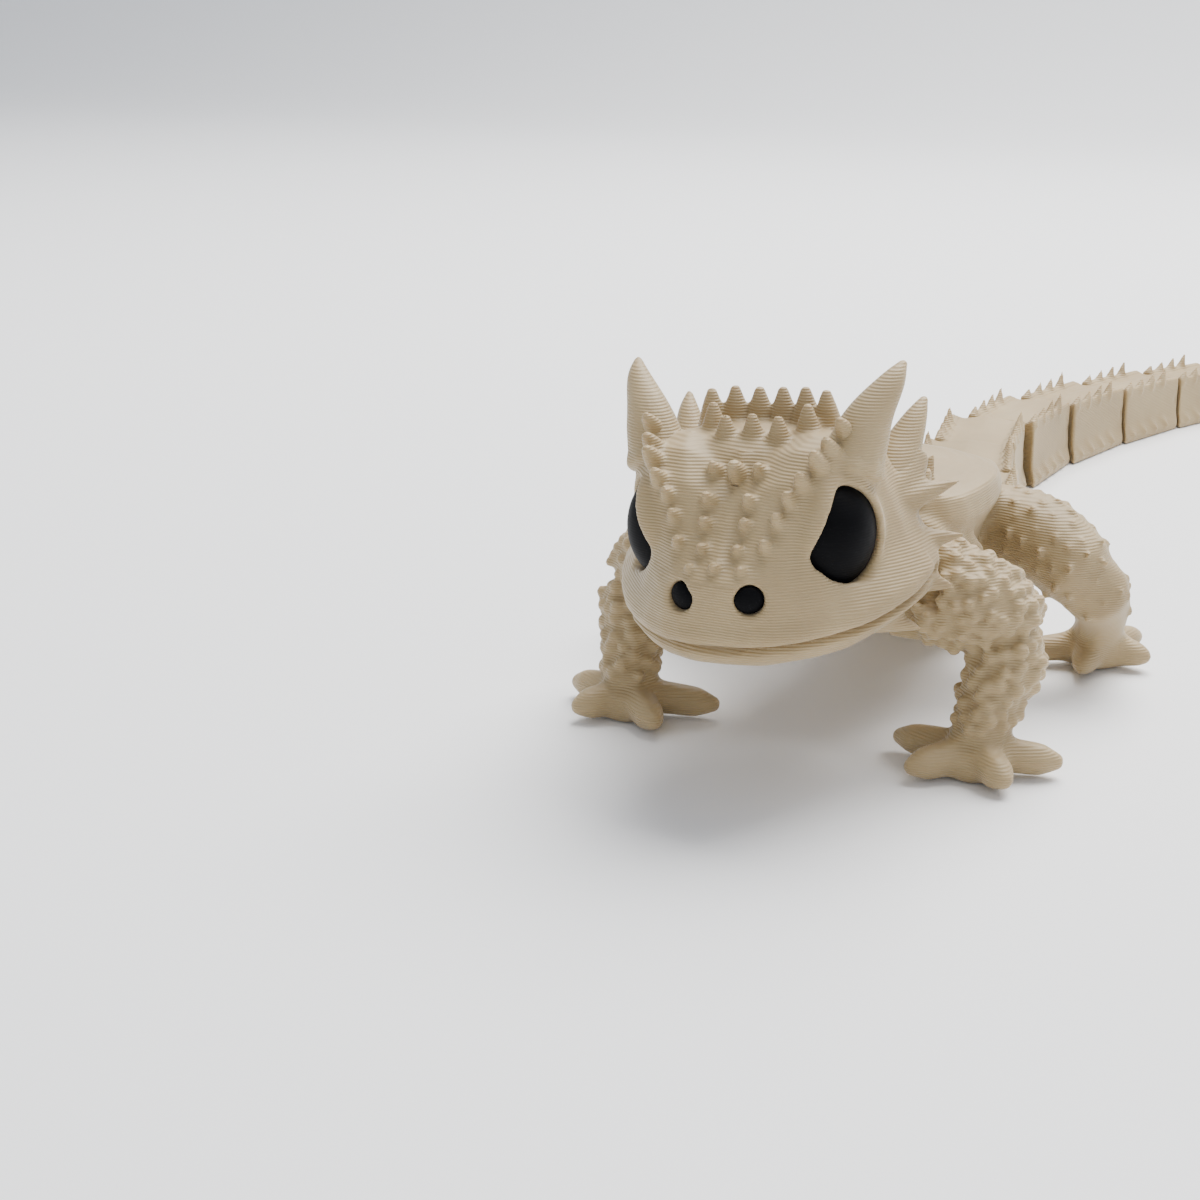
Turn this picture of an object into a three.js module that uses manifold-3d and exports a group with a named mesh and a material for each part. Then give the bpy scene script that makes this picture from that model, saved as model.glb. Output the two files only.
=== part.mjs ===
// Jointed toy horned lizard, printed in one matte plastic with black eyes and nostrils.
// Millimetres, +Z up. The lizard faces -Y, its left side is +X, and its tail runs to +Y.
import * as THREE from "three";
import { mergeVertices } from "three/addons/utils/BufferGeometryUtils.js";
import Module from "manifold-3d";

const wasm = await Module();
wasm.setup();

// Driving dimensions
const gap = 0.3; // clearance between neighbouring pieces
const nostrilHeight = 17; // middle of the nostrils above the floor
const headFront = -12; // middle of the nostrils along the body
const headPitch = 5.9; // degrees, nose down
const headRoll = -4.3; // degrees, left side up
const eyeRadius = 3.8;
const neckBallRadius = 3.2;
const neckCup = 9.0; // inner radius of the neck's hollow front, about the ball
const wristHeight = 3.5; // level at which hands and feet part from the limbs
const tailStart = 43; // first tail pivot behind the body origin
const tailLengths = [14.3, 14.3, 14.3, 14.3, 14.3, 13.4, 12.4, 19];
const tailHeadings = [-8, -14, -9, 5, 14, 20, 25, 28]; // degrees to the left of straight back
const tailHalfWidth = 5.6; // wall half-width of the first segment
const tailHalfWidthStep = 0.33; // lost with each segment
const tailHeight = 9.2;
const tailHeightStep = 0.42;
const fringe = 0.7; // how far the lower fringe stands out of the wall
const swing = 20; // degrees each tail joint turns to either side of straight
const weld = 2e-3; // points closer than this count as one

// Colours of the two printed plastics
const tan = new THREE.MeshStandardMaterial({ color: "#c9b184", roughness: 0.62, metalness: 0 });
const black = new THREE.MeshStandardMaterial({ color: "#0c0c0e", roughness: 0.45, metalness: 0 });

let seed = 7;
function random() {
  seed = (seed * 16807) % 2147483647;
  return seed / 2147483647;
}

const V = (x, y, z) => new THREE.Vector3(x, y, z);
const degrees = THREE.MathUtils.degToRad;

// A closed geometry becomes a solid with its faces pointing out.
function solid(geometry, tolerance = 1e-4) {
  const bare = geometry.index ? geometry.toNonIndexed() : geometry.clone();
  bare.deleteAttribute("normal");
  bare.deleteAttribute("uv");
  const merged = mergeVertices(bare, tolerance);
  const position = merged.attributes.position.array;
  const all = merged.index.array;
  const kept = [];
  for (let i = 0; i < all.length; i += 3) {
    const [a, b, c] = [all[i], all[i + 1], all[i + 2]];
    if (a !== b && b !== c && c !== a) kept.push(a, b, c);
  }
  let volume = 0;
  const [p, q, r] = [V(), V(), V()];
  for (let i = 0; i < kept.length; i += 3) {
    p.fromArray(position, 3 * kept[i]);
    q.fromArray(position, 3 * kept[i + 1]);
    r.fromArray(position, 3 * kept[i + 2]);
    volume += p.dot(q.cross(r));
  }
  if (volume < 0)
    for (let i = 0; i < kept.length; i += 3) [kept[i + 1], kept[i + 2]] = [kept[i + 2], kept[i + 1]];
  const mesh = new wasm.Mesh({
    numProp: 3,
    vertProperties: new Float32Array(position),
    triVerts: new Uint32Array(kept),
  });
  return new wasm.Manifold(mesh);
}

function join(solids) {
  return solids.reduce((whole, piece) => whole.add(piece));
}

// Keeps the largest closed body of a solid.
function largest(whole) {
  const bodies = whole.decompose();
  return bodies.reduce((best, body) => (body.volume() > best.volume() ? body : best), bodies[0]);
}

// Closes a stack of rings with equal point counts into one body.
function loft(rings) {
  const count = rings[0].length;
  const positions = [];
  const tri = (a, b, c) => positions.push(...a.toArray(), ...b.toArray(), ...c.toArray());
  for (let i = 0; i + 1 < rings.length; i += 1)
    for (let j = 0; j < count; j += 1) {
      const k = (j + 1) % count;
      const [a, b, c, d] = [rings[i][j], rings[i][k], rings[i + 1][k], rings[i + 1][j]];
      tri(a, b, c);
      tri(a, c, d);
    }
  const middle = (ring) => ring.reduce((sum, v) => sum.add(v), V(0, 0, 0)).divideScalar(count);
  const first = middle(rings[0]);
  const last = middle(rings[rings.length - 1]);
  for (let j = 0; j < count; j += 1) {
    const k = (j + 1) % count;
    tri(first, rings[0][k], rings[0][j]);
    tri(last, rings[rings.length - 1][j], rings[rings.length - 1][k]);
  }
  const geometry = new THREE.BufferGeometry();
  geometry.setAttribute("position", new THREE.Float32BufferAttribute(positions, 3));
  return solid(geometry);
}

// Rings round a smooth path, with the radii spread evenly along it.
function limb(points, radii, sides, steps) {
  const curve = new THREE.CatmullRomCurve3(points, false, "centripetal");
  const rings = [];
  const reference = V(0.13, 0.21, 0.97);
  for (let i = 0; i <= steps; i += 1) {
    const t = i / steps;
    const along = curve.getTangentAt(t);
    const side = V().crossVectors(along, reference).normalize();
    const up = V().crossVectors(side, along).normalize();
    const spot = t * (radii.length - 1);
    const low = Math.min(Math.floor(spot), radii.length - 2);
    const radius = THREE.MathUtils.lerp(radii[low], radii[low + 1], spot - low);
    const centre = curve.getPointAt(t);
    const ring = [];
    for (let j = 0; j < sides; j += 1) {
      const angle = (j / sides) * 2 * Math.PI;
      const point = centre.clone();
      point.addScaledVector(side, Math.cos(angle) * radius);
      point.addScaledVector(up, Math.sin(angle) * radius);
      ring.push(point);
    }
    rings.push(ring);
  }
  return loft(rings);
}

// A tapered spike with its root sunk below base.
function spike(base, tip, radius, sides = 5) {
  const along = V().subVectors(tip, base);
  const length = along.length();
  const sunk = 0.6 * radius;
  const geometry = new THREE.ConeGeometry(radius, length + sunk, sides);
  geometry.translate(0, (length - sunk) / 2, 0);
  geometry.applyQuaternion(new THREE.Quaternion().setFromUnitVectors(V(0, 1, 0), along.normalize()));
  geometry.translate(base.x, base.y, base.z);
  return solid(geometry);
}

// A ball, or an egg when stretch gives a factor for each axis.
function ball(centre, radius, stretch = V(1, 1, 1), around = 16, down = 10) {
  const geometry = new THREE.SphereGeometry(radius, around, down);
  geometry.scale(stretch.x, stretch.y, stretch.z);
  geometry.translate(centre.x, centre.y, centre.z);
  return solid(geometry);
}

function box(low, high) {
  const size = V().subVectors(high, low);
  const geometry = new THREE.BoxGeometry(size.x, size.y, size.z);
  const middle = V().addVectors(low, high).multiplyScalar(0.5);
  geometry.translate(middle.x, middle.y, middle.z);
  return solid(geometry);
}

// A cylinder from one point to another.
function rod(from, to, radius, sides = 16) {
  const along = V().subVectors(to, from);
  const geometry = new THREE.CylinderGeometry(radius, radius, along.length(), sides);
  geometry.applyQuaternion(new THREE.Quaternion().setFromUnitVectors(V(0, 1, 0), along.clone().normalize()));
  const middle = V().addVectors(from, to).multiplyScalar(0.5);
  geometry.translate(middle.x, middle.y, middle.z);
  return solid(geometry);
}

// A plan outline in X and Y raised from low to high.
function slab(outline, low, high) {
  const shape = new THREE.Shape(outline.map(([x, y]) => new THREE.Vector2(x, y)));
  const geometry = new THREE.ExtrudeGeometry(shape, { depth: high - low, bevelEnabled: false });
  geometry.translate(0, 0, low);
  return solid(geometry);
}

// A body whose sections are given by half-profiles at stations along Y, smoothed both ways.
function profiled(stations, perHalf, steps) {
  const count = stations[0].half.length;
  const tracks = [];
  for (let j = 0; j < count; j += 1) {
    const points = stations.map((s) => V(s.half[j][0], s.y, s.half[j][1]));
    tracks.push(new THREE.CatmullRomCurve3(points, false, "centripetal"));
  }
  const rings = [];
  for (let i = 0; i <= steps; i += 1) {
    const t = i / steps;
    const key = tracks.map((track) => track.getPoint(t));
    const half = new THREE.CatmullRomCurve3(key, false, "centripetal");
    const left = [];
    for (let j = 0; j <= perHalf; j += 1) left.push(half.getPoint(j / perHalf));
    left[0].x = 0;
    left[perHalf].x = 0;
    const right = left.slice(1, perHalf).reverse();
    rings.push([...left, ...right.map((v) => V(-v.x, v.y, v.z))]);
  }
  return loft(rings);
}

// Head, in its own frame: origin between the nostrils, +Y to the back.
const headStations = [
  { y: -1.0, half: [[0, -4.3], [1.4, -4.1], [2.6, -2.6], [2.6, -0.8], [1.6, 0.9], [0, 1.2]] },
  { y: -0.3, half: [[0, -5.0], [3.2, -4.7], [4.6, -2.9], [4.2, -0.5], [2.6, 1.4], [0, 1.7]] },
  { y: 1.6, half: [[0, -5.7], [5.4, -5.1], [7.0, -3.0], [6.0, -0.2], [3.6, 3.0], [0, 2.7]] },
  { y: 4.0, half: [[0, -6.1], [7.2, -5.3], [9.2, -2.9], [7.2, 0.6], [5.5, 7.1], [0, 5.3]] },
  { y: 7.0, half: [[0, -6.2], [8.4, -5.2], [10.9, -2.6], [8.4, 1.4], [7.2, 9.2], [0, 7.1]] },
  { y: 10.0, half: [[0, -6.2], [8.9, -5.1], [11.9, -2.4], [9.4, 2.0], [7.8, 8.6], [0, 8.0]] },
  { y: 13.0, half: [[0, -6.0], [8.8, -4.9], [12.0, -2.2], [10.0, 1.8], [7.6, 7.0], [0, 8.1]] },
  { y: 15.5, half: [[0, -5.8], [8.0, -4.7], [10.2, -2.0], [9.2, 1.8], [6.8, 5.8], [0, 7.0]] },
  { y: 17.5, half: [[0, -5.4], [5.6, -4.2], [7.0, -1.5], [6.9, 1.9], [5.2, 4.9], [0, 6.0]] },
  { y: 21.0, half: [[0, -3.2], [2.8, -2.6], [3.8, -0.8], [3.8, 1.8], [2.8, 3.6], [0, 4.3]] },
];
const neckBall = V(0, 14.5, 0.6);
const hornRoot = V(7.3, 8.2, 6.6);
const hornTip = V(10.2, 12.7, 13.2);
const templeRoot = V(7.8, 13.9, 2.8);
const templeTip = V(9.4, 19.4, 8.6);
const eyeCentre = V(5.75, 6.7, 2.6);
const eyeStretch = V(0.92, 0.98, 1.12);
const nostril = V(2.45, -0.2, 0);
const nostrilAim = V(0.4, -0.91, 0.1);

// Rows of bumps between the brow ridges: distance from the middle, back, up.
const browBumps = [
  [1.9, 0.3, 1.9], [0, 0.1, 2.1], [3.2, 1.5, 3.4], [1.3, 1.2, 3.0], [3.9, 2.5, 5.0], [1.5, 2.4, 4.5],
  [4.5, 3.2, 6.3], [1.5, 3.4, 5.9], [1.7, 5.3, 7.5], [0, 5.1, 7.5], [5.4, 3.6, 7.6], [6.2, 4.5, 8.9],
  [6.8, 5.7, 9.5], [7.3, 7.1, 10.4],
];
// Cones across the back of the crown: middle distance, back, up.
const crownCones = [
  [0, 9.0, 10.4], [2.0, 8.9, 10.3], [4.4, 12.4, 11.2], [2.7, 12.8, 11.3], [0.9, 13.0, 11.2], [3.6, 10.6, 10.7],
];
// Leaf spikes round the back of the cheek: root, then tip.
const frillSpikes = [
  [[9.2, 13.6, 2.6], [13.0, 17.4, 3.2]],
  [[9.6, 13.2, -0.4], [13.6, 16.0, -0.6]],
  [[9.8, 12.0, -2.8], [13.8, 13.6, -3.9]],
  [[8.2, 9.6, -5.0], [11.2, 11.6, -6.6]],
];

function mirrored(v, side) {
  return V(v.x * side, v.y, v.z);
}

function headWhole() {
  const pieces = [profiled(headStations, 9, 12)];
  for (const side of [1, -1]) {
    const root = mirrored(hornRoot, side);
    const tip = mirrored(hornTip, side);
    const middle = root.clone().lerp(tip, 0.5).add(V(-0.3 * side, -0.3, 0.3));
    pieces.push(limb([root, middle, tip], [2.5, 1.9, 1.3, 0.75, 0.12], 9, 6));
    const back = mirrored(templeRoot, side);
    const end = mirrored(templeTip, side);
    const bend = back.clone().lerp(end, 0.5).add(V(0.2 * side, 0.7, -0.4));
    pieces.push(limb([back, bend, end], [2.4, 1.9, 1.2, 0.12], 8, 5));
    for (const [from, to] of frillSpikes)
      pieces.push(spike(V(from[0] * side, from[1], from[2]), V(to[0] * side, to[1], to[2]), 1.5, 6));
  }
  const sides = (x) => (x === 0 ? [1] : [1, -1]);
  for (const [x, y, z] of browBumps)
    for (const side of sides(x)) {
      const top = V(x * side, y - 0.15, z + 0.2);
      pieces.push(spike(top.clone().add(V(0, 0.5, -0.6)), top, 0.62));
    }
  for (const [x, y, z] of crownCones)
    for (const side of sides(x)) {
      const lean = 0.25 * (random() - 0.5);
      pieces.push(spike(V(x * side, y - 0.5, z - 3.0), V(x * side + lean, y, z), 1.0, 5));
    }
  return join(pieces);
}

// The part of a solid on the far side of a plane, and the rest, with the clearance between them.
function partAt(whole, point, direction, width, length) {
  const aim = direction.clone().normalize();
  const turn = new THREE.Quaternion().setFromUnitVectors(V(0, 0, 1), aim);
  const cutter = (start) => {
    const geometry = new THREE.BoxGeometry(width, width, length);
    geometry.translate(0, 0, length / 2 + start);
    geometry.applyQuaternion(turn);
    geometry.translate(point.x, point.y, point.z);
    return solid(geometry);
  };
  return [whole.intersect(cutter(gap / 2)), whole.subtract(cutter(-gap / 2))];
}

const headTurn = new THREE.Matrix4()
  .makeTranslation(0, headFront, nostrilHeight)
  .multiply(new THREE.Matrix4().makeRotationY(degrees(headRoll)))
  .multiply(new THREE.Matrix4().makeRotationX(degrees(headPitch)));
const atHead = (v) => v.clone().applyMatrix4(headTurn);

// Side view of the mouth: the lower jaw is what lies under this line.
function jawCutter(clear) {
  const outline = [
    [-6, -3.55 - clear], [0.8, -3.6 - clear], [5, -3.45 - clear], [9, -2.9 - clear],
    [12.2 - clear, -1.9 - clear], [13.4 - clear, -3.0], [12.4 - clear, -12], [-6, -12],
  ];
  const shape = new THREE.Shape(outline.map(([y, z]) => new THREE.Vector2(y, z)));
  const geometry = new THREE.ExtrudeGeometry(shape, { depth: 40, bevelEnabled: false });
  // Plan axes of the outline become Y and Z, and its depth runs along X.
  geometry.applyMatrix4(new THREE.Matrix4().set(0, 0, 1, -20, 1, 0, 0, 0, 0, 1, 0, 0, 0, 0, 0, 1));
  return solid(geometry);
}

function headPieces() {
  const nodes = {};
  let whole = headWhole();
  for (const side of [1, -1]) {
    const name = side > 0 ? "left" : "right";
    const root = mirrored(hornRoot, side);
    const aim = V().subVectors(mirrored(hornTip, side), root);
    let piece;
    [piece, whole] = partAt(whole, root.clone().addScaledVector(aim, 0.44), aim, 6.4, 9);
    nodes[`horn_${name}`] = largest(piece);
    const back = mirrored(templeRoot, side);
    const lean = V().subVectors(mirrored(templeTip, side), back);
    [piece, whole] = partAt(whole, back.clone().addScaledVector(lean, 0.52), lean, 4.8, 9);
    nodes[`temple_horn_${name}`] = largest(piece);
    const centre = mirrored(eyeCentre, side);
    whole = whole.subtract(ball(centre, eyeRadius + gap, eyeStretch, 16, 10));
    // The lids stand back from the front of the eye.
    const lid = mirrored(eyeCentre.clone().add(V(2.9, -0.7, 0.1)), side);
    whole = whole.subtract(ball(lid, 3.1, V(0.7, 0.92, 1.12), 12, 8));
    nodes[`eye_${name}`] = ball(centre, eyeRadius, eyeStretch, 16, 10);
    const mouth = mirrored(nostril, side);
    const out = mirrored(nostrilAim, side).normalize();
    const inner = mouth.clone().addScaledVector(out, -1.3);
    whole = whole.subtract(rod(inner.clone().addScaledVector(out, -gap), mouth.clone().addScaledVector(out, 2), 1.1, 10));
    nodes[`nostril_${name}`] = rod(inner, mouth.clone().addScaledVector(out, 0.15), 0.8, 10);
  }
  whole = whole.subtract(ball(neckBall, neckBallRadius + gap, V(1, 1, 1), 12, 8));
  const mouthOfSocket = [neckBall.clone(), neckBall.clone().add(V(0, 4, 0)), neckBall.clone().add(V(0, 9, 0))];
  whole = whole.subtract(limb(mouthOfSocket, [2.6, 3.4, 5.4], 12, 2));
  // Behind the cheeks the head is round about the ball, so that it turns inside the neck's cup.
  const nape = box(V(-9, 15.6, -20), V(9, 40, 8.5)).subtract(ball(neckBall, neckCup - 2 * gap, V(1, 1, 1), 18, 12));
  whole = whole.subtract(nape);
  nodes.lower_jaw = largest(whole.intersect(jawCutter(gap)));
  nodes.head = largest(whole.subtract(jawCutter(0)));
  return nodes;
}

// Trunk: half-profiles from under the throat to the root of the tail.
const trunkStations = [
  { y: 7.6, half: [[0, 11.4], [4.4, 12.2], [6.4, 16.2], [4.8, 20.6], [0, 22.0]] },
  { y: 9.4, half: [[0, 10.2], [5.6, 11.0], [7.6, 15.2], [6.4, 20.2], [0, 21.6]] },
  { y: 12.0, half: [[0, 9.0], [7.0, 9.8], [8.7, 14.0], [10.0, 18.9], [0, 20.5]] },
  { y: 17.0, half: [[0, 8.2], [7.8, 9.2], [8.8, 13.4], [11.2, 18.9], [0, 20.3]] },
  { y: 23.0, half: [[0, 8.0], [7.6, 9.1], [8.6, 13.4], [10.8, 18.9], [0, 20.2]] },
  { y: 27.5, half: [[0, 7.8], [6.8, 8.8], [8.0, 13.0], [8.8, 18.2], [0, 19.6]] },
  { y: 30.5, half: [[0, 6.2], [6.8, 7.2], [8.2, 11.4], [7.2, 15.8], [0, 17.2]] },
  { y: 36.0, half: [[0, 2.2], [6.4, 3.0], [7.4, 7.6], [6.0, 12.0], [0, 13.0]] },
  { y: 41.0, half: [[0, 0.0], [6.2, 0.0], [6.4, 4.6], [5.6, 9.4], [0, 9.8]] },
  { y: 52.0, half: [[0, 0.0], [6.0, 0.0], [5.6, 4.6], [5.2, 9.0], [0, 8.8]] },
];
const armPath = [V(6.8, 7.6, 13.2), V(11.6, 7.6, 13.0), V(15.4, 9.2, 10.2), V(15.0, 6.8, 6.4), V(14.3, 4.8, 2.4)];
const armRadii = [4.0, 4.1, 3.7, 3.2, 2.7, 2.3, 2.2];
const legPath = [V(6.0, 30.0, 12.6), V(12.2, 27.6, 12.8), V(17.6, 25.4, 9.9), V(18.0, 29.6, 6.4), V(17.0, 33.4, 2.4)];
const legRadii = [3.2, 3.6, 3.8, 3.4, 2.7, 2.3, 2.2];
// Toe tips from the ankle of a front foot, in plan.
const toeReach = [[-7.0, 2.1], [-4.2, -4.1], [3.5, -3.7], [6.2, 2.2]];
const toeHeight = 1.25;
const rootStart = 5.6; // the shoulders stay behind the cheeks' sweep
const leafSpikes = [
  [[7.6, 12.4, 13.0], [11.6, 14.6, 13.6]],
  [[7.8, 14.6, 12.6], [12.6, 18.0, 12.8]],
  [[7.8, 17.2, 12.2], [13.0, 21.0, 12.0]],
];
const shoulderSpikes = [[2.0, 10.4, 22.2], [4.6, 10.8, 21.8], [6.6, 11.8, 21.2], [8.2, 13.6, 20.8]];

function foot(ankle, turnDegrees, side) {
  const turn = degrees(turnDegrees);
  const pieces = [ball(V(ankle.x * side, ankle.y, 1.3), 2.7, V(1, 1, 0.8), 10, 6)];
  for (const [x, y] of toeReach) {
    const reach = V(x * Math.cos(turn) - y * Math.sin(turn), x * Math.sin(turn) + y * Math.cos(turn), 0);
    const path = [0, 0.5, 1].map((t) => {
      const lift = toeHeight + (1 - t) * 0.7;
      return V((ankle.x + reach.x * t) * side, ankle.y + reach.y * t, lift);
    });
    pieces.push(limb(path, [1.5, 1.5, 1.45, 1.35, 0.55], 6, 4));
  }
  return pieces;
}

// Scales standing in rows along the outside of a limb.
function limbScales(path, radii, rows, size, side) {
  const curve = new THREE.CatmullRomCurve3(path, false, "centripetal");
  const scales = [];
  for (let i = 0; i < rows; i += 1) {
    const t = 0.3 + (0.5 * i) / (rows - 1);
    const spot = t * (radii.length - 1);
    const low = Math.floor(spot);
    const radius = THREE.MathUtils.lerp(radii[low], radii[low + 1], spot - low);
    const along = curve.getTangentAt(t);
    const across = V().crossVectors(along, V(0, 1, 0)).normalize();
    const out = V().crossVectors(across, along).normalize();
    for (let k = -1; k <= 1; k += 1) {
      const angle = degrees(38 * k + (i % 2) * 19);
      const aim = across.clone().multiplyScalar(-Math.cos(angle)).addScaledVector(out, Math.sin(angle));
      const at = curve.getPointAt(t).addScaledVector(aim, radius - 0.1);
      const tip = at.clone().addScaledVector(aim, size * (0.8 + 0.4 * random()));
      at.x *= side;
      tip.x *= side;
      scales.push(spike(at, tip, 0.6, 4));
    }
  }
  return scales;
}

function region(low, high, side) {
  return box(V(side > 0 ? low.x : -high.x, low.y, low.z), V(side > 0 ? high.x : -low.x, high.y, high.z));
}

function bodyPieces() {
  const nodes = {};
  const trunk = [profiled(trunkStations, 9, 20)];
  for (const side of [1, -1]) {
    for (const [from, to] of leafSpikes)
      trunk.push(spike(V(from[0] * side, from[1], from[2]), V(to[0] * side, to[1], to[2]), 1.4, 6));
    for (const [x, y, z] of shoulderSpikes)
      trunk.push(spike(V(x * side, y - 0.8, z - 1.9), V(x * side, y, z), 0.9));
  }
  let whole = join(trunk);
  const floor = box(V(-60, -60, -20), V(60, 80, 0));
  for (const side of [1, -1]) {
    const name = side > 0 ? "left" : "right";
    const flip = (path) => path.map((v) => mirrored(v, side));
    const front = join([
      limb(flip(armPath), armRadii, 9, 10),
      ...foot(armPath[4], 0, side),
      ...limbScales(armPath, armRadii, 6, 0.55, side),
    ]).subtract(floor).subtract(region(V(0, -20, 12.6), V(11.3, 5.5, 30), side)); // clear of the turning head
    const hind = join([
      limb(flip(legPath), legRadii, 9, 10),
      ...foot(legPath[4], 45, side),
      ...limbScales(legPath, legRadii, 4, 0.4, side),
    ]).subtract(floor);
    for (const [limbSolid, part, end, low, high] of [
      [front, "arm", "hand", V(9.3, -10, -1), V(40, 15.4, 30)],
      [hind, "leg", "foot", V(9.3, 20, -1), V(40, 60, 30)],
    ]) {
      const outer = limbSolid.intersect(region(low, high, side));
      const below = box(V(-60, -60, -5), V(60, 80, wristHeight - gap / 2));
      const above = box(V(-60, -60, wristHeight + gap / 2), V(60, 80, 60));
      nodes[`${part}_${name}`] = largest(outer.intersect(above));
      nodes[`${end}_${name}`] = largest(limbSolid.intersect(below));
      const rootFront = part === "arm" ? rootStart : low.y;
      const root = limbSolid.intersect(region(V(0, rootFront, 4), V(low.x - gap, high.y, 30), side));
      whole = whole.subtract(limbHole(part === "arm" ? armPath : legPath, part === "arm" ? armRadii : legRadii, side));
      whole = whole.add(root);
    }
  }
  const cup = ball(atHead(neckBall), neckCup, V(1, 1, 1), 18, 12);
  const stalkEnd = atHead(neckBall.clone().add(V(0, 9.5, -0.8)));
  const stalk = limb([atHead(neckBall), atHead(neckBall.clone().add(V(0, 4, 0))), stalkEnd], [2, 2, 3], 8, 3);
  whole = whole.subtract(cup).add(stalk).add(ball(atHead(neckBall), neckBallRadius, V(1, 1, 1), 12, 8));
  const [neckEnd, torsoEnd] = [12.2, 29.4];
  nodes.neck = largest(whole.intersect(box(V(-40, -20, -5), V(40, neckEnd, 60))));
  nodes.torso = largest(whole.intersect(box(V(-40, neckEnd + gap, -5), V(40, torsoEnd, 60))));
  nodes.pelvis = largest(whole.intersect(box(V(-40, torsoEnd + gap, 0), V(40, 90, 60))));
  return nodes;
}

// Clear space round the outer part of a limb.
function limbHole(path, radii, side) {
  const curve = path.map((v) => mirrored(v, side));
  const wide = radii.map((r) => r + gap);
  return limb(curve, wide, 9, 10).intersect(region(V(9.3 - gap, -20, -5), V(40, 80, 40), side));
}

// Tail joint: the parent ends in an arc about the pivot, with a pocket and a slot for the next knob.
function knobSize(width, height) {
  return { radius: 0.42 * width, bar: 0.15 * width, low: 0.24 * height, high: 0.7 * height };
}

function seamRadius(width) {
  return 1.2 * (width + fringe);
}

function endInArc(segment, pivot, heading, width, height) {
  const size = knobSize(width, height);
  const reach = seamRadius(width);
  const at = (x, y) => {
    const a = degrees(heading);
    return [pivot.x + x * Math.cos(a) + y * Math.sin(a), pivot.y - x * Math.sin(a) + y * Math.cos(a)];
  };
  const wide = 40;
  const ahead = slab([at(-wide, -wide), at(wide, -wide), at(wide, 0), at(-wide, 0)], -5, 40);
  const arc = rod(V(pivot.x, pivot.y, -5), V(pivot.x, pivot.y, 40), reach, 28);
  const pocket = rod(
    V(pivot.x, pivot.y, size.low - gap), V(pivot.x, pivot.y, size.high + gap), size.radius + gap, 10);
  const half = size.bar + gap;
  const spread = (reach + 2) * Math.tan(degrees(swing + 2));
  const slot = slab(
    [at(-half, 0), at(half, 0), at(half + spread, reach + 2), at(-half - spread, reach + 2)],
    size.low - gap, size.high + gap);
  return segment.intersect(ahead.add(arc)).subtract(pocket).subtract(slot);
}

function startAtArc(segment, pivot, heading, width, height) {
  const size = knobSize(width, height);
  const reach = seamRadius(width) + gap;
  const arc = rod(V(pivot.x, pivot.y, -5), V(pivot.x, pivot.y, 40), reach, 28);
  const a = degrees(heading);
  const at = (x, y) => [pivot.x + x * Math.cos(a) + y * Math.sin(a), pivot.y - x * Math.sin(a) + y * Math.cos(a)];
  const bar = slab(
    [at(-size.bar, 0), at(size.bar, 0), at(size.bar, reach + 2.5), at(-size.bar, reach + 2.5)], size.low, size.high);
  const knob = rod(V(pivot.x, pivot.y, size.low), V(pivot.x, pivot.y, size.high), size.radius, 8);
  return segment.subtract(arc).add(bar).add(knob);
}

function tailProfile(width, height) {
  return [
    [0, 0], [width + 0.1, 0], [width + 0.25 * fringe, 0.9], [width - 0.35, 2.3], [width - 0.45, height - 1.1],
    [width - 0.6, height], [width - 1.9, height - 0.7], [0, height - 0.45],
  ];
}

function tailSegment(index, pivot, heading, length) {
  const width = tailHalfWidth - tailHalfWidthStep * index;
  const height = tailHeight - tailHeightStep * index;
  const last = index === tailLengths.length - 1;
  const before = seamRadius(width + tailHalfWidthStep) * 0.3;
  const end = last ? length : length + seamRadius(width) + 1;
  const a = degrees(heading);
  const place = (x, y, z) =>
    V(pivot.x + x * Math.cos(a) + y * Math.sin(a), pivot.y - x * Math.sin(a) + y * Math.cos(a), z);
  const rings = [];
  const steps = last ? 6 : 1;
  for (let i = 0; i <= steps; i += 1) {
    const t = i / steps;
    const taper = last ? 1 - 0.93 * t : 1 - (0.7 * t * tailHalfWidthStep) / width;
    const rise = last ? 1 - 0.8 * t : 1 - (0.7 * t * tailHeightStep) / height;
    const half = tailProfile(width, height).map(([x, z]) => [x * taper, z * rise]);
    const y = THREE.MathUtils.lerp(before, end, t);
    const left = half.map(([x, z]) => place(x, y, z));
    const right = half.slice(1, -1).reverse().map(([x, z]) => place(-x, y, z));
    rings.push([...left, ...right]);
  }
  const pieces = [loft(rings)];
  const start = seamRadius(width + tailHalfWidthStep) * 0.72 + 0.8;
  const stop = last ? length * 0.8 : length + seamRadius(width) * 0.5 - 0.6;
  for (const side of [1, -1]) {
    for (let k = 0; k < 4; k += 1) {
      const t = (k + 0.6) / 4;
      const y = THREE.MathUtils.lerp(start, stop, t);
      const shrink = last ? 1 - 0.93 * (y / length) : 1;
      const drop = last ? 1 - 0.8 * (y / length) : 1;
      const size = (1.0 + 0.28 * k) * Math.max(shrink, 0.35);
      const x = (width - 1.0) * shrink * side;
      const z = height * drop;
      const wide = 0.85 * Math.max(shrink, 0.4);
      pieces.push(spike(place(x, y - 0.5, z - 0.5), place(x * 1.04, y + 0.5, z + size), wide, 4));
    }
    for (let k = 0; k < 4; k += 1) {
      const y = THREE.MathUtils.lerp(start, stop, (k + 0.5) / 4);
      const shrink = last ? 1 - 0.93 * (y / length) : 1;
      const out = (width + fringe * (0.75 + 0.25 * random())) * shrink * side;
      const inner = place((width - 0.5) * shrink * side, y - 0.2, 1.7 * Math.max(shrink, 0.4));
      pieces.push(spike(inner, place(out, y + 0.5, 0.7), 0.75 * Math.max(shrink, 0.35), 4));
    }
  }
  const floor = box(V(-200, -200, -20), V(200, 200, 0));
  return join(pieces).subtract(floor);
}

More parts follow.
